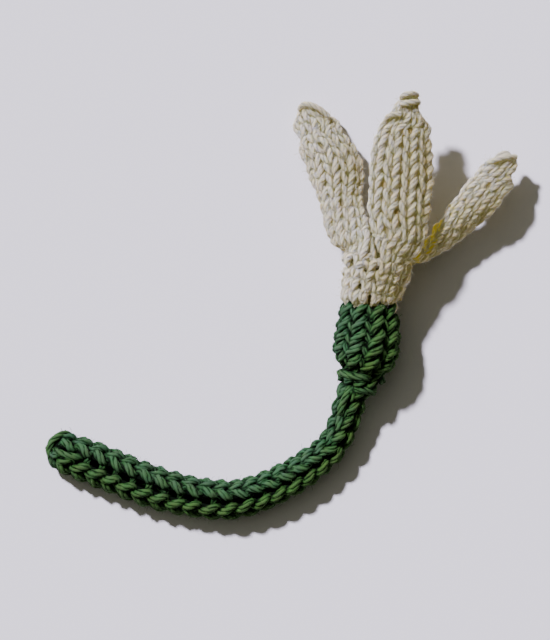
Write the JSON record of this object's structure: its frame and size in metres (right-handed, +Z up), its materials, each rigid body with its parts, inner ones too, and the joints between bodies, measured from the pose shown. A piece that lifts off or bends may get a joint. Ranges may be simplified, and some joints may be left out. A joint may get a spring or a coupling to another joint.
{
  "type": "knitted snowdrop flower",
  "caption": "Hand-knitted snowdrop lying on its side: a green cord stem, a stuffed green cup and a cream tube that opens into long curling petals.",
  "frame": {"origin": "on the surface that the flower lies on, under the middle of its bounding box", "axes": "+Z up from the surface, +Y from the cup towards the petals, +X to the right, seen from above"},
  "size_m": [0.1045, 0.0937, 0.0177],
  "materials": {
    "green_yarn": "plied moss green knitting yarn, matt with fine loose fibres",
    "cream_yarn": "plied natural cream knitting yarn, matt, ochre in the gaps between stitches",
    "wadding": "loose white toy stuffing"
  },
  "bodies": {
    "root": {"stem": "green_yarn", "calyx": "green_yarn", "calyx_stuffing": "wadding", "corolla_tube": "cream_yarn", "petal_left": "cream_yarn", "petal_middle": "cream_yarn", "petal_right": "cream_yarn"}
  },
  "joints": []
}
